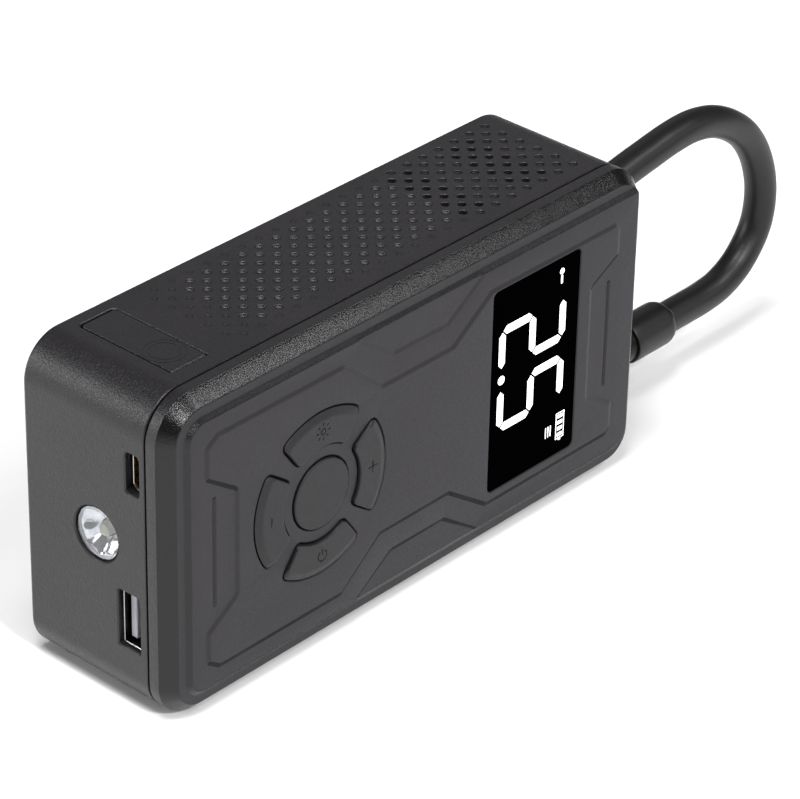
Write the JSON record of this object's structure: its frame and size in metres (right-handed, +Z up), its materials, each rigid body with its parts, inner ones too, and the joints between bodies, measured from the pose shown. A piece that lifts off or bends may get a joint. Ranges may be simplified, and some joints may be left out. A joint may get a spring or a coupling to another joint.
{
  "type": "jump starter pack",
  "caption": "Portable jump starter and tyre inflator: boxy two-part housing with display, ring of keys, torch, USB ports, flap over the clamp socket and a looped air hose.",
  "frame": {"origin": "centre of the base, below the middle of the housing with its keys, without the hose", "axes": "+X towards the end with the hose, -Y out of the front cover with display and keys, +Z up, with the pack standing on its long narrow side"},
  "size_m": [0.2191, 0.043, 0.0754],
  "materials": {
    "shell_plastic": "fine-textured charcoal ABS",
    "cover_plastic": "spark-eroded grey-black ABS",
    "key_rubber": "satin key rubber with printed signs",
    "window_acrylic": "smoked gloss",
    "white_plastic": "satin",
    "board_green": "solder mask over glass fibre",
    "steel": "plated",
    "nickel": "nickel plated, bright",
    "gold": "gold plated",
    "black_nylon": "satin",
    "clear_lens": "clear polycarbonate",
    "reflector": "vacuum metallised",
    "blue_nylon": "satin",
    "cell_pouch": "satin laminate",
    "red_silicone": "satin",
    "black_silicone": "satin",
    "zinc": "as cast",
    "gear_nylon": "satin",
    "hose_rubber": "satin"
  },
  "bodies": {
    "housing": {"rear_shell": "shell_plastic", "front_cover": "cover_plastic", "display_window": "window_acrylic", "display_module": "white_plastic", "main_pcb": "board_green", "pressure_sensor": "black_nylon", "usb_a_shell": "steel", "usb_a_tongue": "white_plastic", "usb_c_shell": "steel", "usb_c_tongue": "gold", "torch_lens": "clear_lens", "torch_reflector": "reflector", "torch_led": "white_plastic", "jump_socket": "blue_nylon", "jump_contact_positive": "gold", "jump_contact_negative": "gold", "battery_cell_1": "cell_pouch", "battery_cell_2": "cell_pouch", "battery_cell_3": "cell_pouch", "battery_lead_positive": "red_silicone", "battery_lead_negative": "black_silicone", "motor_can": "steel", "motor_end_bell": "black_nylon", "crank_axle": "steel", "pump_bracket": "zinc", "cylinder": "zinc", "valve_plate": "steel", "cylinder_head": "zinc", "air_tube": "black_silicone", "hose_gland": "hose_rubber", "air_hose": "hose_rubber", "switch_mode": "black_nylon", "switch_plus": "black_nylon", "switch_light": "black_nylon", "switch_minus": "black_nylon", "switch_power": "black_nylon", "case_screw_1": "steel", "case_screw_2": "steel", "case_screw_3": "steel", "case_screw_4": "steel", "motor_screw_1": "steel", "motor_screw_2": "steel", "bracket_screw_1": "steel", "bracket_screw_2": "steel", "head_screw_1": "steel", "head_screw_2": "steel"},
    "key_mode": {"button_mode": "key_rubber"},
    "key_plus": {"button_plus": "key_rubber"},
    "key_light": {"button_light": "key_rubber"},
    "key_minus": {"button_minus": "key_rubber"},
    "key_power": {"button_power": "key_rubber"},
    "flap": {"port_cover": "shell_plastic"},
    "connector": {"hose_collar": "hose_rubber", "chuck_body": "nickel", "chuck_seal": "black_silicone", "chuck_pin": "nickel"},
    "crank": {"crank_gear": "gear_nylon"},
    "motor_shaft": {"motor_pinion": "steel"},
    "piston": {"piston_rod": "gear_nylon", "piston_cup": "black_silicone"}
  },
  "joints": [
    {"name": "mode_press", "type": "slide", "parent": "housing", "child": "key_mode", "axis": [0, 1, 0], "range_m": [0, 0.0006], "stiffness_N_per_m": 2500},
    {"name": "plus_press", "type": "slide", "parent": "housing", "child": "key_plus", "axis": [0, 1, 0], "range_m": [0, 0.0006], "stiffness_N_per_m": 2500},
    {"name": "light_press", "type": "slide", "parent": "housing", "child": "key_light", "axis": [0, 1, 0], "range_m": [0, 0.0006], "stiffness_N_per_m": 2500},
    {"name": "minus_press", "type": "slide", "parent": "housing", "child": "key_minus", "axis": [0, 1, 0], "range_m": [0, 0.0006], "stiffness_N_per_m": 2500},
    {"name": "power_press", "type": "slide", "parent": "housing", "child": "key_power", "axis": [0, 1, 0], "range_m": [0, 0.0006], "stiffness_N_per_m": 2500},
    {"name": "flap_hinge", "type": "hinge", "parent": "housing", "child": "flap", "pos_m": [-0.05685, -0.00815, 0.0746], "axis": [1, 0, 0], "range_deg": [0, 100]},
    {"name": "connector_pull", "type": "slide", "parent": "housing", "child": "connector", "axis": [1, 0, 0], "range_m": [0, 0.012], "deforming": ["air_hose"]},
    {"name": "crank_spin", "type": "hinge", "parent": "housing", "child": "crank", "pos_m": [0.03, 0.005, 0.0318], "axis": [1, 0, 0], "continuous": true},
    {"name": "motor_spin", "type": "hinge", "parent": "housing", "child": "motor_shaft", "pos_m": [0.03, 0.005, 0.0173], "axis": [1, 0, 0], "continuous": true},
    {"name": "piston_stroke", "type": "slide", "parent": "housing", "child": "piston", "axis": [0, 0, 1], "range_m": [0, 0.0095]}
  ],
  "couplings": [
    {"joint": "motor_spin", "follows": "crank_spin", "ratio": -4.8}
  ]
}
